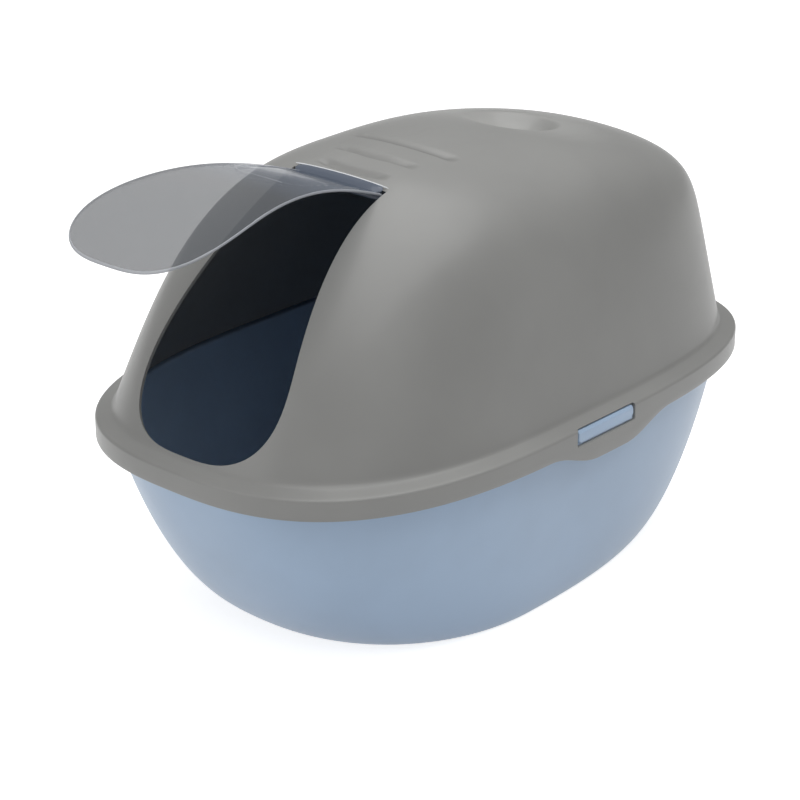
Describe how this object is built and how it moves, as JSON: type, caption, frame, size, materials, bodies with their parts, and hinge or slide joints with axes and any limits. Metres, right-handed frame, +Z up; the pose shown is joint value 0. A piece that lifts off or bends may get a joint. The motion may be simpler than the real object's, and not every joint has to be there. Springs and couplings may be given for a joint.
{
  "type": "hooded cat litter box",
  "caption": "Hooded cat litter box: round-bottomed tray, lift-off hood with an arched front doorway, and a clear flap that swings on a hinge rod.",
  "frame": {"origin": "middle of the widest section of the box, on the floor under the tray's foot", "axes": "+Z up, -Y out of the doorway at the front, +X to the side"},
  "size_m": [0.385, 0.6611, 0.3965],
  "materials": {
    "tray": "satin",
    "hood": "satin",
    "flap": "clear, gloss",
    "hinge_rod": "gloss"
  },
  "bodies": {
    "tray": {"tray": "tray"},
    "cover": {"hood": "hood", "hinge_rod": "hinge_rod"},
    "door": {"flap": "flap"}
  },
  "joints": [
    {"name": "hood_lift", "type": "slide", "parent": "tray", "child": "cover", "axis": [0, 0, 1], "range_m": [0, 0.2]},
    {"name": "flap_hinge", "type": "hinge", "parent": "cover", "child": "door", "pos_m": [0, -0.077, 0.36471], "axis": [-1, 0, 0], "range_deg": [-76, 0]}
  ]
}
